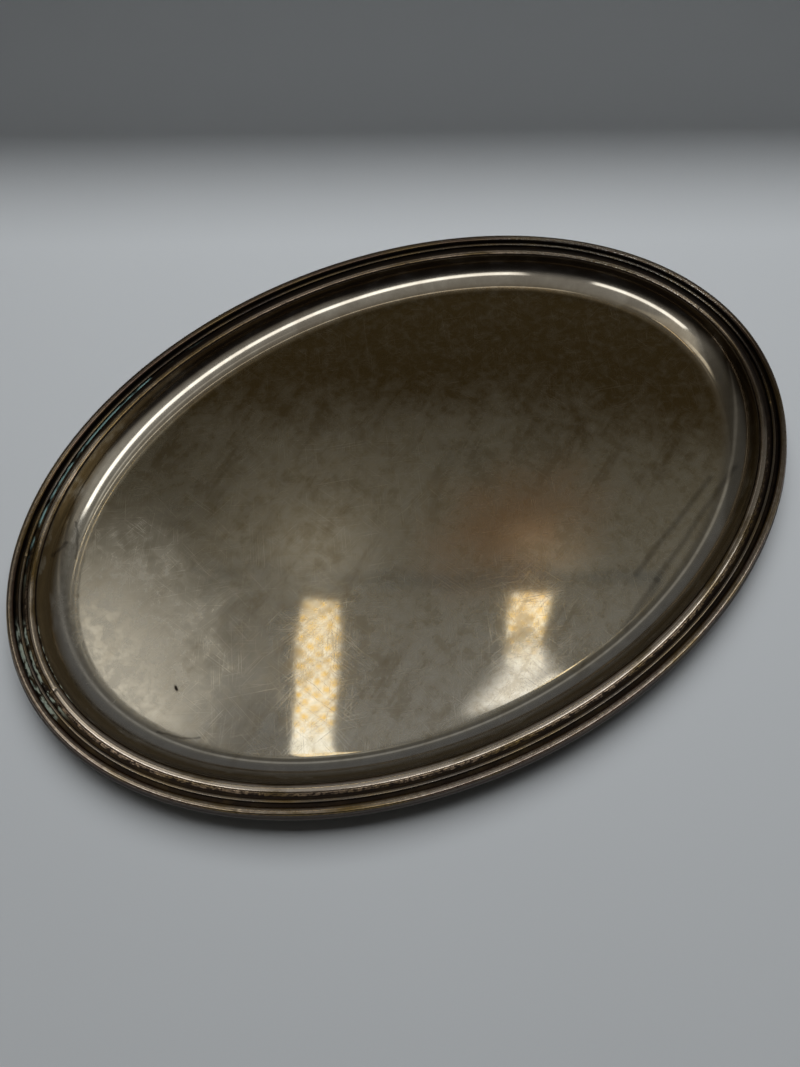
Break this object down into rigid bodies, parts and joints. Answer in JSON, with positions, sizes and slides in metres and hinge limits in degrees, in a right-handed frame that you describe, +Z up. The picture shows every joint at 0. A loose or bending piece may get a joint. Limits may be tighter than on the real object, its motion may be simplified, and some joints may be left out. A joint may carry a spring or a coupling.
{
  "type": "serving tray",
  "caption": "Oval silver-plated serving tray with a sunken well, hollow sloping wall and beaded border, in tarnished and lightly scratched condition.",
  "frame": {"origin": "middle of the tray's underside, on the table that it rests on", "axes": "+X along the oval's long axis, +Y along its short axis, +Z up out of the well"},
  "size_m": [0.4, 0.285, 0.018],
  "materials": {
    "plated_sheet": "silver plate, tarnished olive grey, finely scratched",
    "plated_moulding": "silver plate worn to warm brown on its crests, dark tarnish in its grooves",
    "thin_moulding": "silver plate, dull, with a rubbed crest"
  },
  "bodies": {
    "root": {"tray_body": "plated_sheet", "inner_bead_1": "plated_moulding", "inner_bead_2": "plated_moulding", "thin_reed_1": "thin_moulding", "thin_reed_2": "thin_moulding", "outer_bead_1": "plated_moulding", "outer_bead_2": "plated_moulding", "outer_bead_3": "plated_moulding"}
  },
  "joints": []
}
